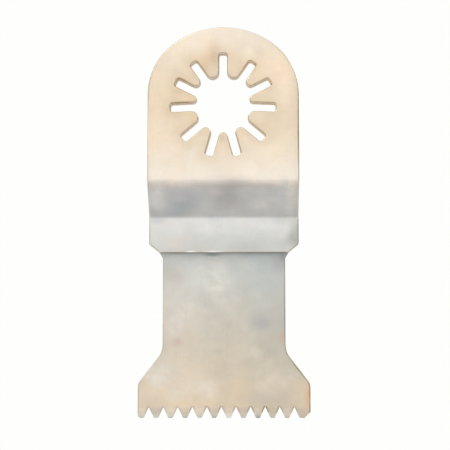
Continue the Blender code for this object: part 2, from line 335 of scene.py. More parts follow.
class SheetMesh:
    """Flat sheet being built. Each vertex is (x, z, depth, normal x, normal z, backward normal,
    inset or -1 away from the rims, wall flag, hole flag)."""

    def __init__(self, spacing, rows, creases):
        self.spacing, self.rows, self.creases = spacing, rows, creases
        self.verts, self.faces = [], []

    def add_rims(self, loops, profiles):
        """Rings of vertices from the front rim to the back rim, joined by quads."""
        rings = []
        for step in range(len(profiles[0][0])):
            ring = []
            for number, (loop, stations) in enumerate(zip(loops, profiles)):
                start = len(self.verts)
                for point, normal, stretch, profile in zip(loop, *outline_normals(loop), stations):
                    inset, depth, outward, backward, wall = profile[step]
                    x, z = point - normal * stretch * inset
                    self.verts.append((x, z, depth, normal[0] * outward, normal[1] * outward,
                                       backward, inset, wall, float(number > 0)))
                ring.append(list(range(start, len(self.verts))))
            rings.append(ring)
        for front, back in zip(rings, rings[1:]):
            for near, far in zip(front, back):
                for i in range(len(near)):
                    j = (i + 1) % len(near)
                    self.faces.append((near[i], far[i], far[j], near[j]))
        return rings[0], rings[-1]

    def add_face(self, ring, depth, facing, extra, clear=None):
        """Fills the front (facing -1) or the back (facing 1) between the rims."""
        rims = [np.array([self.verts[i][:2] for i in ids]) for ids in ring]
        rim_ids = [i for ids in ring for i in ids]
        points = [tuple(self.verts[i][:2]) for i in rim_ids]
        rim_count = len(points)
        edges = []
        for ids in ring:
            base, count = len(edges), len(ids)
            edges += [(base + i, base + (i + 1) % count) for i in range(count)]
        barrier_edges = list(edges)
        points += face_grid(rims, self.spacing, self.rows, extra, clear)

        def chain(first, last, start, end, count):
            """Fixed edges between two rim points, through evenly spaced new points."""
            ids = [first]
            for k in range(1, count):
                ids.append(len(points))
                points.append((start[0] + (end[0] - start[0]) * k / count,
                               start[1] + (end[1] - start[1]) * k / count))
            ids.append(last)
            edges.extend(zip(ids, ids[1:]))

        for row in self.rows:                    # straight across a bend
            ends = sorted((i for i in range(len(rims[0])) if abs(points[i][1] - row) < 1e-5),
                          key=lambda i: points[i][0])
            if len(ends) < 2:
                continue
            x0, x1 = points[ends[0]][0], points[ends[-1]][0]
            chain(ends[0], ends[-1], (x0, row), (x1, row), max(2, round((x1 - x0) / 1.2)))
        for crease in self.creases:              # between the rim points nearest its ends
            first, last = (min(range(rim_count), key=lambda i: math.dist(points[i], end))
                           for end in crease)
            start, end = points[first], points[last]
            chain(first, last, start, end, max(1, round(math.dist(start, end) / 0.4)))

        corners, _, triangles, origin, _, _ = delaunay_2d_cdt(
            [Vector(point) for point in points], edges, [], 0, 1e-7, True)
        found = {source: k for k, group in enumerate(origin) for source in group}
        barrier = {frozenset((found[i], found[j])) for i, j in barrier_edges}
        index = []
        for corner, sources in zip(corners, origin):
            known = [source for source in sources if source < rim_count]
            if known:
                index.append(rim_ids[known[0]])
            else:
                index.append(len(self.verts))
                self.verts.append((*corner, depth, 0.0, 0.0, facing, -1.0, 0.0, 0.0))
        corners = np.array([tuple(corner) for corner in corners])
        triangles = np.array([tuple(triangle) for triangle in triangles])
        for triangle in sheet_triangles(corners, triangles, rims, barrier):
            face = tuple(index[k] for k in triangle)
            self.faces.append(face if facing < 0 else face[::-1])


def sheet(name, loops, thickness, place, lean, spacing, rim, roll_steps, rows=(), creases=(),
          extra=(), back_extra=(), back_clear=None, back_push=None, joint=None):
    """loops: outer outline first, then holes, as (x, z) of the front face.
    place(x, z, depth) -> XYZ; lean(x, z) -> angle of the face from upright, positive when the
    front looks down; rim(loop number, x, z) -> roll, burr and tear for rim_profile;
    extra and back_extra: point arrays for both faces and for the back only;
    back_push(x, z) -> how far the back is pressed in, and its slope along x and z."""
    loops = [oriented(loop, i == 0) for i, loop in enumerate(loops)]
    profiles = [[rim_profile(*rim(i, *point), thickness, roll_steps) for point in loop]
                for i, loop in enumerate(loops)]
    build = SheetMesh(spacing, rows, creases)
    front_ring, back_ring = build.add_rims(loops, profiles)
    build.add_face(front_ring, 0.0, -1.0, extra)
    build.add_face(back_ring, thickness, 1.0, [*extra, *back_extra], back_clear)

    data = np.array(build.verts)
    flat, depths, sides = data[:, :2], data[:, 2], data[:, 3:6]
    insets, walls, holes = data[:, 6], data[:, 7], data[:, 8]
    edge_gap = edge_distance(flat, loops, joint)
    on_joint = np.zeros(len(flat), bool) if joint is None else np.abs(flat[:, 1] - joint) < 0.02
    edge_gap = np.where((insets >= 0) & ~on_joint, np.maximum(insets, 0.0), edge_gap)
    hole_gap = edge_distance(flat, loops[1:])
    coords, normals = [], []
    for (x, z), depth, (normal_x, normal_z, backward), inset in zip(flat, depths, sides, insets):
        position = Vector(place(x, z, depth))
        angle = lean(x, z)
        face = Vector((0.0, -math.cos(angle), -math.sin(angle)))
        normal = Vector((normal_x, 0.0, normal_z)) + face * (-backward)
        if back_push is not None and depth > thickness - 1e-6 and inset < 0:
            push, slope_x, slope_z = back_push(x, z)
            position.y -= push
            normal = (normal + Vector((slope_x, 0.0, slope_z))).normalized()
        coords.append(tuple(position * MM))
        normals.append(tuple(normal.normalized()))
    obj = new_object(name, coords, build.faces)
    mesh = obj.data
    mesh.shade_smooth()
    mesh.normals_split_custom_set_from_vertices(normals)
    for attribute, values in (("edge_d", edge_gap), ("wall", walls), ("depth", depths),
                              ("hole", holes), ("hole_d", hole_gap)):
        add_attribute(mesh, attribute, values)
    mesh.update()
    return obj


# ---------------------------------------------------------------------------------------------
# shank
# ---------------------------------------------------------------------------------------------
def bend_table():
    """Matching stations of the front and the back face, from the top of the plate down to the
    lower end: z front, y front, z back, y back, lean."""
    def on_arc(y, z, radius, lean):
        return z + radius * math.sin(lean), y + radius * math.cos(lean)

    def flat_row(z, y):
        return z, y, z, y + SHANK_T, 0.0

    lift = SHANK_T * HALF_BEND_TAN
    low_y = FRONT_Y + STEP_Y
    rows = [flat_row(SHANK_HIGH.z + 5, FRONT_Y), flat_row(BEND_TOP_Z + 2.2, FRONT_Y)]
    # upper bend: both arcs turn about points behind the sheet
    front_z = BEND_TOP_Z + BEND_R_OUT * HALF_BEND_TAN
    back_z = BEND_TOP_Z + lift + BEND_R_IN * HALF_BEND_TAN
    for k in range(BEND_STEPS + 1):
        lean = BEND * k / BEND_STEPS
        rows.append((*on_arc(FRONT_Y + BEND_R_OUT, front_z, -BEND_R_OUT, lean),
                     *on_arc(FRONT_Y + SHANK_T + BEND_R_IN, back_z, -BEND_R_IN, lean), lean))
    # lower bend: both arcs turn about points in front of the sheet
    front_z = BEND_LOW_Z - BEND_R_IN * HALF_BEND_TAN
    back_z = BEND_LOW_Z + lift - BEND_R_OUT * HALF_BEND_TAN
    for k in range(BEND_STEPS + 1):
        lean = BEND - BEND * k / BEND_STEPS
        rows.append((*on_arc(low_y - BEND_R_IN, front_z, BEND_R_IN, lean),
                     *on_arc(low_y + SHANK_T - BEND_R_OUT, back_z, BEND_R_OUT, lean), lean))
    rows += [flat_row(BEND_LOW_Z - 1.6, low_y), flat_row(SHANK_END_Z - 5, low_y)]
    return np.array(rows)


BEND_TABLE = bend_table()


def bend_value(z, column):
    return np.interp(z, BEND_TABLE[::-1, 0], BEND_TABLE[::-1, column])


def shank_place(x, z, depth):
    share = depth / SHANK_T
    front_y, back_z, back_y = (bend_value(z, column) for column in (1, 2, 3))
    return x, front_y + (back_y - front_y) * share, z + (back_z - z) * share


def shank_lean(x, z):
    return float(bend_value(z, 4))


def shank_loop():
    """Crown arc between two shoulder arcs, straight sides and a chamfered lower end."""
    half = SHANK_W / 2.0
    turn = math.radians(CROWN_HALF_ANGLE)
    shoulder_r = (half - CROWN_R * math.sin(turn)) / (1.0 - math.sin(turn))
    crown_z = TOP_Z - CROWN_R
    shoulder_x = half - shoulder_r
    shoulder_z = crown_z + (CROWN_R - shoulder_r) * math.cos(turn)
    upright = math.pi / 2
    points = []
    for x, z, radius, start, end in (
            (shoulder_x, shoulder_z, shoulder_r, 0.0, upright - turn),
            (0.0, crown_z, CROWN_R, upright - turn, upright + turn),
            (-shoulder_x, shoulder_z, shoulder_r, upright + turn, math.pi)):
        for k in range(1 if points else 0, CROWN_STEPS + 1):
            angle = start + (end - start) * k / CROWN_STEPS
            points.append((x + radius * math.cos(angle), z + radius * math.sin(angle), 0.0))
    points += [(-half, SHANK_END_Z + END_CHAMFER_Z, END_CORNER_R),
               (-half + END_CHAMFER_X, SHANK_END_Z, END_CORNER_R),
               (half - END_CHAMFER_X, SHANK_END_Z, END_CORNER_R),
               (half, SHANK_END_Z + END_CHAMFER_Z, END_CORNER_R)]
    return rounded(points, step_deg=6.0)


def star_loop():
    angles = sorted({side * angle for angle in STAR_ANGLES for side in (1.0, -1.0)})
    half_slot = STAR_SLOT_W / 2.0
    points = []

    def slot_corner(across, angle):
        turn = math.radians(angle)
        return (STAR_SLOT_R * math.sin(turn) + across * math.cos(turn),
                ARBOR_Z + STAR_SLOT_R * math.cos(turn) - across * math.sin(turn),
                STAR_SLOT_CORNER_R)

    for angle, following in zip(angles, angles[1:] + [angles[0] + 360.0]):
        middle = (angle + following) / 2.0
        if abs(middle) < 20.0:
            tip = STAR_TIP_R_TOP
        elif 45.0 < abs(middle) < 52.0:
            tip = STAR_TIP_R_SHORT
        else:
            tip = STAR_TIP_R
        sin = math.sin(math.radians((following - angle) / 2.0))
        points += [slot_corner(-half_slot, angle), slot_corner(half_slot, angle)]
        turn = math.radians(middle)
        apex = half_slot / sin
        points.append((apex * math.sin(turn), ARBOR_Z + apex * math.cos(turn),
                       (tip * sin - half_slot) / (1.0 - sin)))
    return rounded(points, step_deg=9.0)


def shank_rim(number, x, z):
    if number:
        return STAR_RIM
    return SHANK_END_RIM if z < SHANK_END_Z + 0.1 else SHANK_SIDE_RIM


bend_rows = [float(z) for z in BEND_TABLE[:, 0] if BEND_LOW_Z - 1.7 < z < BEND_TOP_Z + 2.3]
shank = sheet("shank", [densify(shank_loop(), 0.6, bend_rows), densify(star_loop(), 0.45)],
              SHANK_T, shank_place, shank_lean, spacing=0.8, rim=shank_rim, roll_steps=5,
              rows=bend_rows)


# ---------------------------------------------------------------------------------------------
# blade and tooth tips
# ---------------------------------------------------------------------------------------------
def gullet_x(k):
    return FIRST_GULLET_X + TOOTH_PITCH * k


def tooth_sides(k, z):
    """X of the left and the right flank of tooth k at height z."""
    half = BLADE_W / 2.0
    left = -half if k == 0 else gullet_x(k - 1) + (GULLET_Z - z) * FLANK_SLOPE
    if k < TOOTH_COUNT - 1:
        right = gullet_x(k) - (GULLET_Z - z) * FLANK_SLOPE
    elif z >= END_RELIEF_Z:
        right = half
    else:
        right = END_RELIEF_X + (half - END_RELIEF_X) * z / END_RELIEF_Z
    return left, right


def set_side(x):
    """Alternate set: even teeth lean to the front (-1), odd teeth to the back (1)."""
    k = min(TOOTH_COUNT - 1, max(0, math.ceil((x - FIRST_GULLET_X) / TOOTH_PITCH)))
    return -1.0 if k % 2 == 0 else 1.0


def blade_place(x, z, depth):
    shift = 0.0
    if z < SET_TOP_Z:
        shift = set_side(x) * TOOTH_SET * (SET_TOP_Z - z) / SET_TOP_Z
    return x, BLADE_FRONT_Y + depth + shift, z


def blade_lean(x, z):
    if z > SET_TOP_Z - 0.01:
        return 0.0
    return math.atan(TOOTH_SET / SET_TOP_Z) * set_side(x)


def blade_loop():
    half, neck, tang = BLADE_W / 2.0, NECK_W / 2.0, TANG_W / 2.0
    right = [(half, SET_TOP_Z, 0.0), (half, FLARE_LOW_Z, FLARE_LOW_R),
             (neck, FLARE_TOP_Z, FLARE_TOP_R), (neck, NECK_TOP_Z, NECK_TOP_R),
             (tang, TANG_FOOT_Z, TANG_FOOT_R), (tang, TANG_TOP_Z, TANG_TOP_R)]
    points = [(tooth_sides(TOOTH_COUNT - 1, WELD_LINE_Z)[1], WELD_LINE_Z, 0.0),
              (half, END_RELIEF_Z, 0.0), *right,
              *((-x, z, radius) for x, z, radius in reversed(right)),
              (-half, WELD_LINE_Z, 0.0)]
    root_z = GULLET_Z - GULLET_R / math.sin(math.radians(GULLET_HALF_ANGLE))
    for k in range(TOOTH_COUNT - 1):
        points += [(tooth_sides(k, z)[1], z, 0.0) for z in (WELD_LINE_Z, SET_TOP_Z)]
        for j in range(5):                       # arc tangent to both flanks
            angle = math.radians(GULLET_HALF_ANGLE + (180 - 2 * GULLET_HALF_ANGLE) * j / 4)
            points.append((gullet_x(k) - GULLET_R * math.cos(angle),
                           root_z + GULLET_R * math.sin(angle), 0.0))
        points += [(tooth_sides(k + 1, z)[0], z, 0.0) for z in (SET_TOP_Z, WELD_LINE_Z)]
    return rounded(points, step_deg=5.0)


# radius and point count of the rings around each weld
WELD_RINGS = ((0.5, 8), (1.0, 14), (1.3, 24), (1.38, 30), (1.44, 30), (1.52, 30), (1.7, 24),
              (1.9, 20))
WELD_CLEAR_R = 2.1
SEAT_R, SEAT_DEPTH = 1.40, 0.4                   # recess under each weld mark
DISH_R, DISH_WIDTH, DISH_DEPTH = 1.95, 0.55, 0.05


def weld_points():
    points = []
    for weld_x, weld_z in WELDS:
        points.append((weld_x, weld_z))
        for radius, count in WELD_RINGS:
            for i in range(count):
                angle = 2 * math.pi * (i + 0.3) / count
                points.append((weld_x + radius * math.cos(angle),
                               weld_z + radius * math.sin(angle)))
    return np.array(points)


def weld_clear(grid):
    clear = np.ones(len(grid), bool)
    for weld_x, weld_z in WELDS:
        clear &= np.hypot(grid[:, 0] - weld_x, grid[:, 1] - weld_z) > WELD_CLEAR_R
    return clear


def weld_push(x, z):
    """Seat for each weld mark in the back of the blade, and the slight dish around it."""
    for weld_x, weld_z in WELDS:
        radius = math.hypot(x - weld_x, z - weld_z)
        if radius < SEAT_R:
            return SEAT_DEPTH, 0.0, 0.0
        if radius < DISH_R:
            share = (DISH_R - radius) / DISH_WIDTH
            slope = -DISH_DEPTH * 2 * share / DISH_WIDTH
            return (DISH_DEPTH * share * share,
                    slope * (x - weld_x) / radius, slope * (z - weld_z) / radius)
    return 0.0, 0.0, 0.0


def blade_rim(number, x, z):
    """Rolled sides; the teeth keep sharp edges."""
    gain = min(1.0, max(0.0, (z - RIM_GAIN_Z) / RIM_GAIN_REACH))
    roll = TOOTH_RIM + BLADE_RIM_GAIN * gain if z > WELD_LINE_Z + 0.01 else JOINT_RIM
    burr = min(roll, TOOTH_RIM)
    return (roll, roll), (burr, burr), BLADE_TEAR * gain


def tip_rim(number, x, z):
    size = JOINT_RIM if z > WELD_LINE_Z - 0.01 else TIP_RIM
    return (size, size), (size, size), 0.0


TOOTH_ROWS = (1.25, 1.5, 1.77, 2.33, 2.6, 2.9, 3.25, 3.65)
near_teeth = np.array([(x + (0.17 if k % 2 else 0.0), z) for k, z in enumerate(TOOTH_ROWS)
                       for x in np.arange(-17.0, 17.0, 0.34)])
set_creases = [[(x, SET_TOP_Z) for x in tooth_sides(k, SET_TOP_Z)] for k in range(TOOTH_COUNT)]
blade = sheet("blade", [densify(blade_loop(), 0.6)], BLADE_T, blade_place, blade_lean,
              spacing=0.8, rim=blade_rim, roll_steps=4, creases=set_creases,
              extra=[near_teeth], back_extra=[weld_points()], back_clear=weld_clear,
              back_push=weld_push, joint=WELD_LINE_Z)


def tip_piece(k):
    """Hard tip of one tooth, below the weld line."""
    top_left, top_right = tooth_sides(k, WELD_LINE_Z)
    left, right = tooth_sides(k, 0.0)
    points = [(top_left, WELD_LINE_Z, 0.0), (left, 0.0, TIP_CORNER_R if k else FIRST_CORNER_R),
              (right, 0.0, TIP_CORNER_R), (top_right, WELD_LINE_Z, 0.0)]
    loop = densify(rounded(points, step_deg=15.0), 0.25)
    return sheet(f"tip_{k + 1:02d}", [loop], BLADE_T, blade_place, blade_lean, spacing=0.3,
                 rim=tip_rim, roll_steps=2, joint=WELD_LINE_Z)


tips = [tip_piece(k) for k in range(TOOTH_COUNT)]


# ---------------------------------------------------------------------------------------------
# weld nuggets with the electrode marks they leave in the back of the blade
# ---------------------------------------------------------------------------------------------
NUGGET_SEGMENTS = 48
# radius, y from the nugget's front
NUGGET_FRONT = ((0.0, 0.0), (0.7, 0.05), (1.15, 0.25), (1.3, 0.55))
# radius, y from the back of the blade
NUGGET_BACK = ((1.3, -0.7), (1.34, -0.2), (1.46, -0.02), (1.44, 0.012), (1.38, 0.022),
               (1.31, 0.005), (1.24, -0.035), (1.05, -0.075), (0.92, -0.07), (0.84, -0.085),
               (0.5, -0.115), (0.25, -0.125), (0.0, -0.128))


def nugget(number, weld_x, weld_z):
    front = box_mm(f"spot_weld_{number}")[0].y
    profile = ([(radius, front + y) for radius, y in NUGGET_FRONT]
               + [(radius, BACK_Y + y) for radius, y in NUGGET_BACK])
    verts, faces, rings = [], [], []
    for radius, y in profile:
        start = len(verts)
        if radius == 0.0:
            verts.append((weld_x, y, weld_z))
        else:
            for k in range(NUGGET_SEGMENTS):
                angle = 2 * math.pi * k / NUGGET_SEGMENTS
                verts.append((weld_x + radius * math.cos(angle), y,
                              weld_z + radius * math.sin(angle)))
        rings.append(range(start, len(verts)))
    for near, far in zip(rings, rings[1:]):
        for k in range(NUGGET_SEGMENTS):
            j = (k + 1) % NUGGET_SEGMENTS
            if len(near) == 1:
                faces.append((near[0], far[k], far[j]))
            elif len(far) == 1:
                faces.append((near[j], near[k], far[0]))
            else:
                faces.append((near[k], far[k], far[j], near[j]))
    obj = new_object(f"weld_{number}", [(x * MM, y * MM, z * MM) for x, y, z in verts], faces)
    obj.data.shade_smooth()
    obj.data.update()
    add_attribute(obj.data, "weld_r", [math.hypot(x - weld_x, z - weld_z) for x, _, z in verts])
    return obj


nuggets = [nugget(i, *centre) for i, centre in enumerate(WELDS, start=1)]


# ---------------------------------------------------------------------------------------------
# shader helpers
# ---------------------------------------------------------------------------------------------
def srgb(*channels):
    """Linear colour from 0-255 sRGB channels."""
    def linear(value):
        value /= 255.0
        return value / 12.92 if value <= 0.04045 else ((value + 0.055) / 1.055) ** 2.4
    return (*map(linear, channels), 1.0)


def grey(value):
    return (value, value, value, 1.0)


class Graph:
    """Small helper to wire shader nodes."""

    def __init__(self, owner):
        owner.use_nodes = True
        self.tree = owner.node_tree
        self.tree.nodes.clear()

    def node(self, kind, inputs=None, **props):
        node = self.tree.nodes.new(kind)
        for key, value in props.items():
            setattr(node, key, value)
        for key, value in (inputs or {}).items():
            self.put(node.inputs[key], value)
        return node

    def put(self, socket, value):
        if isinstance(value, bpy.types.NodeSocket):
            self.tree.links.new(value, socket)
        else:
            socket.default_value = value

    def math(self, operation, first, second=0.0, third=None, clamp=False):
        inputs = {0: first, 1: second}
        if third is not None:
            inputs[2] = third
        return self.node("ShaderNodeMath", inputs, operation=operation, use_clamp=clamp).outputs[0]

    def mul(self, first, second, clamp=False):
        return self.math("MULTIPLY", first, second, clamp=clamp)

    def sub(self, first, second, clamp=False):
        return self.math("SUBTRACT", first, second, clamp=clamp)

    def mul_add(self, value, factor, base):
        return self.math("MULTIPLY_ADD", value, factor, base)

    def vary(self, noise, amount, base):
        """base, raised and lowered by a noise that is centred on 0.5."""
        return self.mul_add(self.sub(noise, 0.5), amount, base)

    def span(self, value, start, end, low=0.0, high=1.0, kind="SMOOTHSTEP"):
        inputs = dict(enumerate((value, start, end, low, high)))
        return self.node("ShaderNodeMapRange", inputs, clamp=True,
                         interpolation_type=kind).outputs[0]

    def mix(self, factor, first, second, blend="MIX", clamp=False):
        return self.node("ShaderNodeMix", {0: factor, 6: first, 7: second}, data_type="RGBA",
                         blend_type=blend, clamp_result=clamp).outputs[2]

    def tint(self, colour, factor, tint, clamp=False):
        """colour, multiplied by the tint where factor is 1."""
        return self.mix(factor, colour,
                        self.mix(1.0, colour, (*tint, 1.0), "MULTIPLY", clamp=clamp))

    def shade(self, colour, value):
        """colour times a single value."""
        same = self.node("ShaderNodeCombineColor", {0: value, 1: value, 2: value}).outputs[0]
        return self.mix(1.0, colour, same, "MULTIPLY")

    def ramp(self, value, stops):
        node = self.node("ShaderNodeValToRGB")
        elements = node.color_ramp.elements
        while len(elements) > 1:
            elements.remove(elements[-1])
        elements[0].position, elements[0].color = stops[0]
        for position, colour in stops[1:]:
            elements.new(position).color = colour
        self.put(node.inputs[0], value)
        return node.outputs[0]

    def grey_ramp(self, value, stops):
        return self.ramp(value, [(position, grey(level)) for position, level in stops])

    def gradient(self, value, start, end, stops):
        """Colour ramp with its stops given on the scale from start to end."""
        return self.ramp(self.span(value, start, end, kind="LINEAR"),
                         [((stop - start) / (end - start), colour) for stop, colour in stops])

    def vector(self, operation, vector, amounts):
        return self.node("ShaderNodeVectorMath", {0: vector, 1: amounts},
                         operation=operation).outputs[0]

    def position(self):
        """Object position in mm."""
        coord = self.node("ShaderNodeTexCoord").outputs["Object"]
        return self.vector("MULTIPLY", coord, (1000.0, 1000.0, 1000.0))

    def noise(self, vector, scale, detail, rough, distort=0.0, shift=None, stretch=None):
        if shift:
            vector = self.vector("ADD", vector, shift)
        if stretch:
            vector = self.vector("MULTIPLY", vector, stretch)
        return self.node("ShaderNodeTexNoise", {
            "Vector": vector, "Scale": scale, "Detail": detail, "Roughness": rough,
            "Distortion": distort}).outputs[0]

    def attr(self, name):
        return self.node("ShaderNodeAttribute", attribute_name=name).outputs["Fac"]

    def spot(self, x, z, centre_x, centre_z, radius_x, radius_z, skew=0.0):
        """Soft round patch, 1 in its middle; skew slants it, in X per unit of Z."""
        z = self.sub(z, centre_z)
        x = self.sub(x, centre_x)
        if skew:
            x = self.sub(x, self.mul(z, skew))
        x, z = self.math("DIVIDE", x, radius_x), self.math("DIVIDE", z, radius_z)
        reach = self.math("SQRT", self.math("ADD", self.mul(x, x), self.mul(z, z)))
        return self.span(reach, start=1.0, end=0.0)

    def output(self, shader, kind="ShaderNodeOutputMaterial"):
        self.node(kind, {0: shader})

    def metal(self, colour, roughness, normal):
        shader = self.node("ShaderNodeBsdfPrincipled", {
            "Base Color": colour, "Metallic": 1.0, "Roughness": roughness, "Normal": normal})
        self.output(shader.outputs[0])

    def by_ray(self, lighting, seen):
        """One shader for camera rays and another for all the rest."""
        camera_ray = self.node("ShaderNodeLightPath").outputs["Is Camera Ray"]
        return self.node("ShaderNodeMixShader", {0: camera_ray, 1: lighting, 2: seen}).outputs[0]


# ---------------------------------------------------------------------------------------------
# satin rolled steel
# ---------------------------------------------------------------------------------------------
SIDE_REACH = 17.0                                # half width covered by the colour stops along X
HOLE_WALL = (0.64, 0.53, 0.395, 1.0)
# rim of the star hole: painted shade, darker than the plate
HOLE_RIM = (0.75, 0.63, 0.465, 1.0)


def steel_fields(g, offset):
    """Position, noises and mesh attributes that the steel is painted from."""
    position = g.position()
    moved = g.vector("ADD", position, offset)
    x, _, z = g.node("ShaderNodeSeparateXYZ", {0: position}).outputs
    pit_noise = g.noise(moved, scale=3.4, detail=2.0, rough=0.5, shift=(8.0, 3.0, 14.0))
    return SimpleNamespace(
        moved=moved, x=x, z=z,
        # clouds from broad to small
        broad=g.noise(moved, scale=0.11, detail=3.0, rough=0.55, distort=0.6),
        wide=g.noise(moved, scale=0.17, detail=2.0, rough=0.5, distort=0.4,
                     shift=(31.0, 7.0, 53.0)),
        patchy=g.noise(moved, scale=0.42, detail=3.0, rough=0.55, distort=0.8,
                       shift=(71.0, 19.0, 11.0)),
        small=g.noise(moved, scale=1.1, detail=2.0, rough=0.5, distort=1.2,
                      shift=(17.0, 43.0, 29.0)),
        # rolling lines run along Z; finer grinding lines lie across them
        lines=g.noise(moved, scale=1.0, detail=3.0, rough=0.6, stretch=(7.0, 7.0, 0.22)),
        cross=g.noise(moved, scale=1.0, detail=2.0, rough=0.55, stretch=(0.5, 3.0, 11.0)),
        grit=g.noise(moved, scale=9.0, detail=3.0, rough=0.65),
        pits=g.span(pit_noise, start=0.70, end=0.80),
        edge=g.attr("edge_d"), wall=g.attr("wall"), depth=g.attr("depth"), hole=g.attr("hole"))


def rolled_colour(g, f, zones, z_span, sides, mottle):
    """Colour of the faces: zones along Z, factors along X, clouding, fine lines and pits."""
    colour = g.gradient(g.vary(f.wide, amount=1.2, base=f.z), *z_span, zones)
    if sides:
        across = g.gradient(f.x, -SIDE_REACH, SIDE_REACH, sides)
        colour = g.mix(1.0, colour, across, "MULTIPLY")
    value = g.vary(f.broad, amount=4.0 * mottle, base=1.0)
    value = g.vary(f.patchy, amount=1.9 * mottle, base=value)
    value = g.vary(f.small, amount=1.4 * mottle, base=value)
    colour = g.shade(colour, value)
    # warm, cool, then small warm clouds
    colour = g.tint(colour, g.span(f.wide, start=0.52, end=0.75, high=0.55), (1.03, 0.985, 0.93))
    colour = g.tint(colour, g.span(f.wide, start=0.48, end=0.28, high=0.55), (0.95, 0.985, 1.02))
    colour = g.tint(colour, g.span(f.small, start=0.45, end=0.70, high=0.5), (1.0, 0.975, 0.95))
    fine = g.vary(f.lines, amount=0.10, base=1.0)
    colour = g.shade(colour, g.vary(f.cross, amount=0.05, base=fine))
    return g.tint(colour, factor=g.mul(f.pits, 0.18), tint=(0.72, 0.70, 0.66))


def shaded_edges(g, f, colour, rough, rim_colour, rim_strength, ring):
    """Painted shade along the edges: a faint darker line just inside the rim, a band of painted
    shade around the hole, and a darker, slightly smoother rim.
    """
    inner = g.mul(g.span(f.edge, start=1.5, end=0.35),
                  g.span(f.patchy, start=0.35, end=0.65, low=0.35))
    colour = g.tint(colour, factor=g.mul(inner, 0.15), tint=(0.86, 0.82, 0.74))
    # band of painted shade around the star hole
    if ring:
        band = g.mul(g.span(g.attr("hole_d"), start=2.8, end=0.4),
                     g.span(f.patchy, start=0.3, end=0.6, low=0.5))
        band = g.mul(g.mul(band, g.span(f.x, start=7.0, end=-5.0, low=0.35)), ring)
        colour = g.tint(colour, factor=band, tint=(0.88, 0.84, 0.79))
    # painted shade on the rim: a darker colour, slightly smoother
    rim = g.mul(g.span(f.edge, start=0.34, end=0.05),
                g.span(f.grit, start=0.25, end=0.6, low=0.55))
    rim = g.mul(rim, g.sub(1.0, f.wall))
    strength = g.mul_add(f.hole, factor=0.95 - rim_strength, base=rim_strength)
    colour = g.mix(g.mul(rim, strength), colour, g.mix(f.hole, rim_colour, HOLE_RIM))
    return colour, g.mul_add(rim, factor=-0.08, base=rough)


def cut_wall(g, f, colour, rough, wall_colour):
    """Cut wall: burnished towards the front, torn and rough deeper in."""
    torn = g.span(f.depth, start=0.62, end=0.80)
    streak = g.noise(f.moved, scale=1.0, detail=2.0, rough=0.6, stretch=(6.0, 0.6, 6.0))
    streak = g.vary(streak, amount=0.9, base=1.0)
    wall = g.mix(f.hole, wall_colour, HOLE_WALL)
    wall = g.mix(torn, g.mix(1.0, wall, grey(1.2)[:3] + (1.0,), "MULTIPLY"),
                 g.mix(f.hole, wall, g.mix(1.0, wall, (1.3, 1.33, 1.42, 1.0), "MULTIPLY")))
    colour = g.mix(f.wall, colour, g.shade(wall, streak))
    rough = g.math("ADD", g.mul(rough, g.sub(1.0, f.wall)),
                   g.mul(f.wall, g.mul_add(torn, factor=0.25, base=0.32)))
    return colour, rough


def steel(name, zones, z_span, rough, patches, edging, wall_colour, rim_colour, sides=None,
          offset=(0, 0, 0), mottle=0.06, rim_strength=0.6, ring=0.0):
    """zones: colour stops along Z over z_span; sides: colour factor stops along X;
    patches and edging: (x, z, radius x, radius z[, slant], colour factor, strength) tints of the
    hub side and of its rolled edge, the edging mostly painted shade; ring: strength of the painted
    shade band around a hole."""
    mat = bpy.data.materials.new(name)
    g = Graph(mat)
    f = steel_fields(g, offset)
    colour = rolled_colour(g, f, zones, z_span, sides, mottle)
    rough = g.vary(f.lines, amount=0.16, base=rough)
    rough = g.vary(f.broad, amount=0.20, base=rough)
    rough = g.mul_add(f.pits, factor=0.12, base=rough)
    colour, rough = shaded_edges(g, f, colour, rough, rim_colour, rim_strength, ring)
    colour, rough = cut_wall(g, f, colour, rough, wall_colour)

    hub_side = g.mul(g.vary(f.patchy, amount=1.6, base=1.0), g.span(f.depth, start=0.9, end=0.4))
    hub_edge = g.mul(g.span(f.edge, start=0.5, end=0.12), hub_side)
    for table, mask in ((patches, hub_side), (edging, hub_edge)):
        for *ellipse, tint, strength in table:
            factor = g.mul(g.mul(g.spot(f.x, f.z, *ellipse), mask), strength, clamp=True)
            colour = g.tint(colour, factor, tint, clamp=True)

    height = g.mul(f.lines, 0.5)
    for field, share in ((f.cross, 0.25), (f.grit, 0.35), (f.pits, -0.35)):
        height = g.mul_add(field, share, height)
    bump = g.node("ShaderNodeBump", {"Strength": 0.6, "Distance": 0.000012, "Height": height})
    wave = g.node("ShaderNodeBump", {"Strength": 0.5, "Distance": 0.00012, "Height": f.broad,
                                     "Normal": bump.outputs[0]})
    g.metal(colour, g.math("MAXIMUM", rough, 0.12), wave.outputs[0])
    return mat


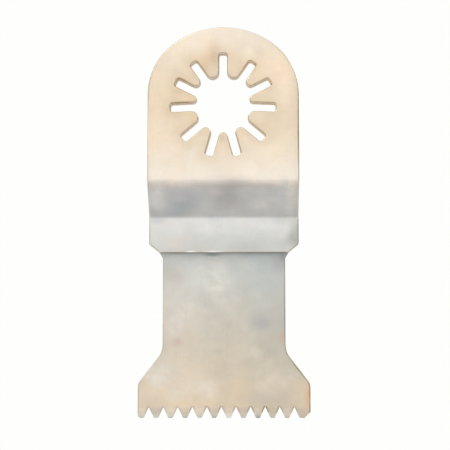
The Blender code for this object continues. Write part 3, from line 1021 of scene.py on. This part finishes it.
# Patches and edging: centre x, centre z, radius x, radius z[, slant], colour factor, strength
SHANK_PATCHES = [
    # mount plate, down to the upper bend
    (-2.7, 70.6, 2.5, 5.2, 0.30, (0.91, 0.84, 0.77), 0.9),
    (-1.5, 70.4, 1.5, 2.6, (0.88, 0.86, 0.84), 0.9),
    (7.1, 71.2, 2.0, 2.0, (0.93, 0.93, 0.93), 0.9),
    (4.8, 70.6, 2.2, 2.6, (1.09, 1.12, 1.12), 1.0),
    (12.2, 63.0, 2.6, 5.8, (1.06, 1.07, 1.11), 1.0),
    (6.8, 59.2, 2.4, 2.4, (1.04, 1.07, 1.12), 1.0),
    (10.8, 65.5, 4.6, 7.0, (1.03, 1.04, 1.07), 0.9),
    (10.0, 55.0, 6.0, 3.4, (0.98, 0.96, 0.93), 0.8),
    (1.5, 46.4, 6.0, 1.3, (0.90, 0.90, 0.90), 0.9),
    (3.6, 69.5, 3.0, 4.2, -0.2, (0.97, 0.93, 0.88), 0.8),
    (-8.4, 63.8, 3.4, 2.2, (0.96, 0.93, 0.88), 0.9),
    (-7.8, 70.2, 3.0, 2.4, (0.98, 0.99, 0.95), 0.9),
    (10.4, 66.9, 2.0, 1.2, (0.95, 0.94, 0.98), 0.8),
    (7.9, 56.8, 2.4, 1.6, (0.99, 0.94, 0.92), 0.8),
    (-0.3, 54.2, 1.0, 1.6, (0.90, 0.89, 0.88), 0.9),
    (0.0, 48.0, 7.0, 3.5, (0.91, 0.91, 0.91), 0.8),
    # slope of the Z-bend and the flat just below it
    (-13.3, 43.2, 2.8, 3.8, (1.22, 1.21, 1.19), 1.0),
    (-8.0, 41.7, 4.8, 3.2, 0.4, (0.80, 0.84, 0.88), 1.0),
    (-10.5, 40.1, 6.0, 1.2, (0.86, 0.88, 0.90), 0.9),
    (0.5, 43.0, 4.4, 3.4, (0.82, 0.82, 0.83), 1.0),
    (9.5, 43.2, 7.0, 4.5, (1.10, 1.09, 1.07), 0.9),
    (-8.0, 45.4, 9.0, 0.9, (1.12, 1.08, 1.05), 0.8),
    (-9.5, 44.9, 4.5, 1.0, (1.12, 1.11, 1.11), 0.9),
    (1.0, 44.6, 4.5, 0.9, (0.92, 0.92, 0.92), 0.9),
    (9.5, 45.5, 6.5, 0.9, (1.12, 1.08, 1.05), 0.8),
    (13.4, 43.0, 2.0, 5.0, (1.22, 1.19, 1.10), 1.0),
    (-14.0, 40.6, 1.8, 1.4, (0.88, 0.88, 0.88), 0.9),
    (-13.2, 38.9, 3.0, 1.4, (0.83, 0.85, 0.87), 1.0),
    (11.8, 39.1, 4.0, 1.3, (0.86, 0.87, 0.87), 1.0),
    (-2.8, 37.4, 4.4, 2.2, (1.13, 1.10, 1.07), 1.0),
    (-9.0, 37.0, 3.0, 2.4, (1.09, 1.09, 1.11), 1.0),
    (6.4, 37.9, 3.4, 1.4, (1.08, 1.06, 1.07), 1.0),
    (-8.6, 45.5, 2.8, 1.0, (1.10, 1.11, 1.14), 1.0),
    (12.6, 45.1, 3.0, 0.9, (1.10, 1.11, 1.09), 1.0),
    (2.4, 45.5, 3.8, 1.2, (0.85, 0.86, 0.87), 1.0),
    (-1.4, 43.9, 2.2, 1.2, (1.14, 1.10, 1.10), 1.0),
    (-8.6, 42.7, 2.4, 1.1, (1.13, 1.11, 1.13), 1.0),
    (6.6, 41.6, 3.0, 1.5, (1.11, 1.09, 1.08), 1.0),
    # lower flat
    (11.4, 34.2, 2.8, 1.4, (0.89, 0.89, 0.91), 1.0),
    (-10.0, 34.4, 5.5, 2.6, (1.08, 1.04, 1.0), 0.9),
    (4.0, 33.4, 6.5, 1.7, (0.90, 0.90, 0.90), 0.9),
    (1.5, 35.6, 4.0, 1.0, (0.95, 0.96, 0.97), 0.9),
    (8.8, 37.6, 3.6, 1.6, (1.06, 1.06, 1.06), 0.9),
    # painted shade: darker strip along the right end of the lower flat
    (14.3, 36.2, 1.9, 4.6, (0.80, 0.81, 0.79), 1.0),
    (13.4, 35.2, 2.0, 2.0, (0.82, 0.83, 0.83), 1.0),
    (4.5, 34.6, 8.5, 1.9, (0.94, 0.94, 0.94), 0.9),
    # painted shade, darker and warmer, along the right edge
    (15.1, 57.0, 0.9, 13.0, (0.74, 0.65, 0.45), 1.0),
    # painted highlight along the lower edge
    (-6.5, 32.60, 1.7, 0.28, (2.4, 2.4, 2.4), 1.0),
    (-2.0, 32.60, 2.7, 0.28, (2.4, 2.4, 2.4), 1.0),
]
# Painted shade on the rolled edge: darker rims about the crown, along the sides and around the
# star hole.
SHANK_EDGING = [
    (-14.0, 68.0, 10.0, 13.0, (0.70, 0.67, 0.66), 1.0),      # left of the crown
    (-15.0, 48.0, 3.0, 9.0, (0.86, 0.84, 0.80), 0.9),
    (15.0, 62.0, 2.0, 9.0, (0.86, 0.84, 0.78), 1.0),
    (15.0, 54.0, 2.0, 8.0, (0.78, 0.75, 0.62), 1.0),
    (11.5, 71.0, 5.0, 6.0, (0.86, 0.85, 0.85), 1.0),
    # rim of the star hole
    (6.4, 68.4, 3.4, 3.0, (0.84, 0.78, 0.60), 1.0),
    (9.8, 64.6, 3.0, 2.6, (0.84, 0.78, 0.60), 1.0),
    (-8.4, 66.0, 3.4, 2.4, (0.84, 0.79, 0.64), 1.0),
    (-8.6, 61.4, 3.6, 1.0, (0.70, 0.66, 0.52), 1.0),
    # sides of the lower flat
    (-15.0, 36.0, 3.0, 3.6, (0.78, 0.78, 0.78), 1.0),
    (15.0, 36.0, 3.0, 4.2, (0.84, 0.83, 0.81), 1.0),
]
BLADE_PATCHES = [
    # neck
    (-8.5, 21.0, 6.5, 6.0, (1.10, 1.10, 1.10), 0.9),
    (-3.0, 27.6, 5.5, 5.0, (1.09, 1.08, 1.06), 0.9),
    (-11.2, 29.0, 2.6, 3.0, (0.90, 0.91, 0.88), 1.0),
    (11.2, 30.6, 3.0, 3.2, (0.85, 0.85, 0.85), 1.0),
    (7.4, 19.0, 4.6, 3.0, (0.88, 0.90, 0.96), 1.0),
    (7.4, 18.3, 2.8, 1.5, (0.93, 0.90, 0.97), 1.0),
    (-9.3, 14.8, 1.8, 1.4, (0.91, 0.85, 0.89), 1.0),
    (-1.2, 13.0, 1.6, 1.2, (0.93, 0.92, 0.92), 0.9),
    # flare and toothed edge
    (-13.0, 9.5, 5.5, 5.0, (1.02, 1.08, 1.15), 1.0),
    (-6.5, 6.0, 4.0, 3.2, (1.02, 1.06, 1.11), 1.0),
    (-2.0, 5.2, 3.2, 3.4, (1.07, 1.08, 1.09), 1.0),
    (-14.0, 3.2, 4.4, 2.6, (0.92, 0.94, 0.96), 1.0),
    (3.0, 6.0, 3.4, 3.4, (0.985, 0.96, 0.90), 0.9),
    (8.5, 3.6, 6.5, 2.8, (0.90, 0.94, 1.0), 1.0),
    (14.0, 8.4, 2.8, 2.2, (1.03, 1.05, 1.10), 1.0),
    # neck and flare
    (-0.6, 26.6, 3.4, 6.4, (1.16, 1.13, 1.10), 1.0),
    (-10.6, 18.0, 3.4, 5.0, (1.04, 1.045, 1.06), 0.9),
    (11.2, 18.0, 2.6, 5.5, (0.95, 0.95, 0.94), 0.9),
    (9.0, 9.8, 5.0, 4.6, (1.08, 1.06, 1.05), 0.9),
    # painted contact shadow, bluish, on the blade just below the shank's lower edge
    (-2.3, 32.2, 2.8, 0.6, (0.56, 0.66, 0.70), 1.0),
    # smaller patches all over; the first is painted contact shadow below the shank's right corner
    (11.7, 31.7, 1.0, 1.5, (0.80, 0.79, 0.78), 1.0),
    (16.45, 4.2, 1.0, 5.0, (1.0, 0.86, 0.76), 1.0),
    (8.0, 6.2, 3.2, 3.6, (1.09, 1.08, 1.09), 1.0),
    (6.0, 12.9, 2.8, 2.2, (1.12, 1.14, 1.13), 1.0),
    (-14.4, 8.6, 3.4, 2.6, (1.07, 1.09, 1.14), 1.0),
    (-3.2, 5.6, 2.6, 3.6, (1.07, 1.09, 1.15), 1.0),
    (-10.2, 4.6, 3.4, 2.2, (1.0, 1.05, 1.10), 1.0),
    (-9.4, 27.6, 3.0, 2.6, (0.94, 0.90, 0.88), 1.0),
    (11.5, 15.8, 1.0, 2.4, (1.04, 0.91, 0.85), 1.0),
    (-10.6, 8.0, 3.2, 3.4, (0.98, 1.015, 1.055), 1.0),
    (-13.4, 7.2, 2.6, 2.0, (1.0, 1.05, 1.12), 1.0),
    (-9.0, 18.4, 3.0, 3.4, (1.02, 1.05, 1.10), 1.0),
    (1.0, 22.6, 3.4, 2.6, (1.06, 1.04, 1.03), 1.0),
    (11.4, 7.4, 3.4, 3.0, (1.10, 1.08, 1.11), 1.0),
    (9.4, 5.0, 3.0, 2.4, (1.04, 1.02, 1.02), 1.0),
]
# Painted shade on the rolled edge along the right side and the toothed edge; the left edge of the
# neck is lifted lighter.
BLADE_EDGING = [
    (17.2, 4.0, 1.6, 7.0, (0.60, 0.52, 0.47), 1.0),
    (14.8, 9.8, 3.8, 4.4, (0.50, 0.47, 0.43), 1.0),
    (8.0, 1.8, 9.0, 1.1, (0.66, 0.64, 0.62), 1.0),
    (-1.5, 2.0, 6.0, 0.9, (0.80, 0.77, 0.70), 0.9),
    (-17.2, 4.0, 1.2, 5.0, (0.92, 0.95, 0.95), 1.0),
    (12.4, 20.0, 1.0, 12.0, (0.68, 0.65, 0.61), 1.0),
    (-12.4, 22.0, 1.0, 10.0, (1.22, 1.22, 1.20), 1.0),
]
TIP_PATCHES = [
    (-13.4, 0.0, 1.6, 1.0, (1.12, 1.14, 1.18), 0.9),
    (0.9, 0.0, 1.6, 1.0, (1.12, 1.14, 1.16), 0.9),
    (6.7, 0.2, 1.6, 1.4, (0.84, 0.85, 0.84), 0.9),
    (-1.9, 0.2, 1.6, 1.2, (0.90, 0.91, 0.90), 0.9),
    (15.6, 0.4, 2.0, 1.6, (1.0, 0.88, 0.80), 0.9),
    (-16.2, 1.0, 1.4, 0.9, (0.92, 0.97, 0.84), 1.0),
    (-10.4, 1.0, 1.2, 0.9, (0.94, 0.98, 0.86), 1.0),
    (-7.6, 0.9, 1.2, 0.9, (0.92, 0.98, 0.82), 1.0),
    (-4.7, 0.4, 1.2, 0.9, (0.92, 0.90, 0.92), 1.0),
    (12.3, 0.5, 1.2, 0.9, (0.92, 0.94, 0.96), 1.0),
]
TIP_EDGING = [
    (-16.4, 0.0, 1.4, 0.7, (0.84, 0.84, 0.88), 1.0),
    (-10.4, 0.0, 1.2, 0.6, (0.74, 0.74, 0.80), 1.0),
    (-7.6, 0.0, 1.0, 0.5, (0.76, 0.80, 0.70), 1.0),
    (-1.9, 0.0, 1.0, 0.5, (0.80, 0.78, 0.84), 1.0),
    (6.7, 0.0, 1.3, 0.9, (0.66, 0.66, 0.66), 1.0),
    (12.3, 0.0, 1.2, 0.6, (0.82, 0.84, 0.86), 1.0),
]

shank_mat = steel(
    "shank_satin_steel",
    # The cream of the mount plate against the grey of the slope is painted reflection of warm
    # light above and the floor below; the lighter cream along the top and just above the bend is
    # painted highlight; the sides darken the right edge, painted shade.
    zones=[(32.0, srgb(206, 206, 201)), (36.5, srgb(216, 217, 214)), (39.0, srgb(222, 222, 220)),
           (40.0, srgb(226, 226, 224)), (44.2, srgb(226, 224, 221)), (45.8, srgb(231, 222, 212)),
           (47.0, srgb(241, 231, 216)), (52.0, srgb(236, 221, 200)), (57.0, srgb(231, 214, 189)),
           (62.0, srgb(233, 215, 188)), (70.0, srgb(235, 218, 195)), (76.5, srgb(239, 227, 211))],
    z_span=(32.0, 77.0),
    sides=[(-15.0, grey(1.0)), (-8.0, grey(0.985)), (2.0, grey(1.0)), (12.5, grey(0.99)),
           (15.0, grey(0.94))],
    patches=SHANK_PATCHES, edging=SHANK_EDGING, rough=0.40, ring=0.65,
    wall_colour=(0.52, 0.51, 0.48, 1.0), rim_colour=srgb(222, 210, 186))

blade_mat = steel(
    "blade_satin_steel",
    zones=[(0.0, srgb(214, 206, 194)), (2.4, srgb(226, 208, 184)), (6.0, srgb(224, 209, 188)),
           (10.0, srgb(217, 205, 186)), (15.0, srgb(212, 203, 188)), (22.0, srgb(211, 206, 195)),
           (27.0, srgb(207, 207, 201)), (31.0, srgb(202, 203, 199)), (33.0, srgb(196, 198, 196)),
           (39.0, srgb(196, 198, 196))],
    z_span=(0.0, 39.0),
    sides=[(-17.0, grey(1.0)), (-11.0, (1.02, 1.0, 0.985, 1.0)), (-5.0, grey(1.01)),
           (3.0, (0.97, 0.975, 0.97, 1.0)), (7.0, (0.88, 0.91, 0.92, 1.0)),
           (12.0, (0.88, 0.91, 0.92, 1.0)), (17.0, (0.96, 0.95, 0.93, 1.0))],
    patches=BLADE_PATCHES, edging=BLADE_EDGING, rough=0.42, offset=(13.0, 5.0, 2.0), mottle=0.07,
    wall_colour=(0.40, 0.39, 0.36, 1.0), rim_colour=srgb(168, 163, 150))

tip_mat = steel(
    "tip_ground_steel",
    zones=[(0.0, srgb(206, 203, 194)), (0.7, srgb(214, 206, 192)), (1.2, srgb(222, 207, 186))],
    z_span=(0.0, 1.3),
    patches=TIP_PATCHES, edging=TIP_EDGING, rough=0.36, offset=(3.0, 11.0, 8.0), mottle=0.08,
    wall_colour=(0.42, 0.41, 0.38, 1.0), rim_colour=srgb(212, 206, 196), rim_strength=0.4)

# heat tint from the middle of a weld (0) to its outer rim (1)
WELD_TINTS = [(0.0, srgb(178, 176, 172)), (0.45, srgb(160, 156, 150)), (0.62, srgb(150, 134, 112)),
              (0.74, srgb(122, 112, 130)), (0.84, srgb(128, 140, 158)),
              (0.93, srgb(176, 166, 140)), (1.0, srgb(196, 190, 178))]


def weld_material():
    mat = bpy.data.materials.new("weld_heat_tint")
    g = Graph(mat)
    position = g.position()
    cloud = g.noise(position, scale=1.6, detail=3.0, rough=0.6)
    grain = g.noise(position, scale=7.0, detail=3.0, rough=0.6)
    radius = g.vary(cloud, amount=0.35, base=g.attr("weld_r"))
    tint = g.ramp(g.span(radius, start=0.0, end=1.5, kind="LINEAR"), WELD_TINTS)
    tint = g.shade(tint, g.vary(grain, amount=0.3, base=1.0))
    bump = g.node("ShaderNodeBump", {"Strength": 0.7, "Distance": 0.00003, "Height": grain})
    g.metal(tint, g.mul_add(cloud, factor=0.3, base=0.3), bump.outputs[0])
    return mat


weld_mat = weld_material()


def dress(obj, material, part):
    obj.data.materials.append(material)
    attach(obj, "root")
    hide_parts(part)


dress(shank, shank_mat, "arbor_shank")
dress(blade, blade_mat, "blade_body")
for k, tip in enumerate(tips, start=1):
    dress(tip, tip_mat, f"tooth_tip_{k:02d}")
for k, piece in enumerate(nuggets, start=1):
    dress(piece, weld_mat, f"spot_weld_{k}")

# ---------------------------------------------------------------------------------------------
# stage, light and camera
# ---------------------------------------------------------------------------------------------
WHITE = srgb(254, 254, 252)
CONTACT_SHADE = (0.40, 0.39, 0.38, 1.0)
FLOOR_HALF, FLOOR_Z = 3.0, -0.00002              # metres


def floor_material():
    """Pale floor that darkens near the blade and lights it softly."""
    mat = bpy.data.materials.new("floor_pale")
    g = Graph(mat)
    occlusion = g.node("ShaderNodeAmbientOcclusion", {"Distance": 0.016}, samples=16)
    geometry = g.node("ShaderNodeNewGeometry").outputs
    facing = g.node("ShaderNodeVectorMath", {0: geometry["Normal"], 1: geometry["Incoming"]},
                    operation="DOT_PRODUCT").outputs["Value"]
    facing = g.math("ABSOLUTE", facing)
    dark = g.sub(1.0, occlusion.outputs["AO"], clamp=True)
    dark = g.mul(dark, g.span(facing, start=0.035, end=0.22))
    seen = g.mix(g.mul(dark, 1.0, clamp=True), WHITE, CONTACT_SHADE)
    sheen = g.grey_ramp(facing, [(0.0, 0.92), (0.25, 0.88), (0.75, 0.66), (1.0, 0.62)])
    seen, lighting = (g.node("ShaderNodeEmission", {"Color": colour, "Strength": 1.0}).outputs[0]
                      for colour in (seen, sheen))
    g.output(g.by_ray(lighting, seen))
    return mat


def studio_world():
    world = bpy.data.worlds.new("studio")
    scene.world = world
    g = Graph(world)
    # "Incoming" points back at the viewer, so the light comes from the opposite direction
    incoming = g.node("ShaderNodeNewGeometry").outputs["Incoming"]
    x, y, z = g.node("ShaderNodeSeparateXYZ", {0: incoming}).outputs
    front = g.mul_add(y, factor=0.5, base=0.5)   # 1 on the hub side
    glow = g.grey_ramp(front, [(0.0, 0.62), (0.25, 0.50), (0.48, 0.40), (0.62, 0.62),
                               (0.80, 0.95), (1.0, 1.04)])
    up = g.span(g.mul(z, -1.0), start=0.0, end=1.0, kind="LINEAR")
    top = g.grey_ramp(up, [(0.0, 0.0), (0.35, 0.02), (0.8, 0.35), (1.0, 0.4)])
    glow = g.mix(1.0, glow, top, "ADD")
    right = g.mul_add(g.mul(x, -1.0), factor=0.5, base=0.5)
    dim = g.grey_ramp(right, [(0.0, 1.5), (0.06, 1.4), (0.16, 1.0), (0.86, 1.0), (0.95, 0.45),
                              (1.0, 0.35)])
    glow = g.mix(1.0, glow, dim, "MULTIPLY")
    lighting, seen = (g.node("ShaderNodeBackground", {0: colour, 1: 1.0}).outputs[0]
                      for colour in (glow, WHITE))
    g.output(g.by_ray(lighting, seen), "ShaderNodeOutputWorld")


LIGHT_AIM, LIGHT_SIZE = (0, 0, 0.04), 0.35       # metres


def area_light(name, location, power, colour):
    data = bpy.data.lights.new(name, "AREA")
    data.shape = "RECTANGLE"
    data.size = data.size_y = LIGHT_SIZE
    data.energy = power
    data.color = colour
    lamp = bpy.data.objects.new(name, data)
    lamp.location = location
    aim = Vector(LIGHT_AIM) - Vector(location)
    lamp.rotation_euler = aim.to_track_quat("-Z", "Y").to_euler()
    scene.collection.objects.link(lamp)


floor = new_object("floor", [(x * FLOOR_HALF, y * FLOOR_HALF, FLOOR_Z)
                             for x, y in ((-1, -1), (1, -1), (1, 1), (-1, 1))], [(0, 1, 2, 3)])
floor.data.materials.append(floor_material())
studio_world()
area_light("key", location=(-0.45, -0.55, 0.55), power=1.1, colour=(1.0, 0.985, 0.96))
area_light("fill", location=(0.6, 0.45, 0.45), power=1.0, colour=(0.97, 0.985, 1.0))

# camera: nearly square on to the hub side, looking slightly up
CAMERA_DISTANCE, VIEW_WIDTH = 268.0, 89.802      # the width is taken at the target
ELEVATION, AZIMUTH = math.radians(-6.5), math.radians(1.2)
CAMERA_TARGET = Vector((0.2, BLADE_FRONT_Y, 38.14))
to_camera = Vector((math.sin(AZIMUTH) * math.cos(ELEVATION),
                    -math.cos(AZIMUTH) * math.cos(ELEVATION), math.sin(ELEVATION)))
camera_data = bpy.data.cameras.new("camera")
camera_data.sensor_width = 36.0
camera_data.lens = camera_data.sensor_width * CAMERA_DISTANCE / VIEW_WIDTH
camera_data.clip_start, camera_data.clip_end = 0.01, 20.0
camera = bpy.data.objects.new("camera", camera_data)
scene.collection.objects.link(camera)
camera.location = (CAMERA_TARGET + to_camera * CAMERA_DISTANCE) * MM
camera.rotation_mode = "QUATERNION"
camera.rotation_quaternion = (-to_camera).to_track_quat("-Z", "Y")
scene.camera = camera
scene.view_settings.view_transform = "Standard"
scene.view_settings.look = "None"
scene.view_settings.exposure = 0.0
scene.view_settings.gamma = 1.0
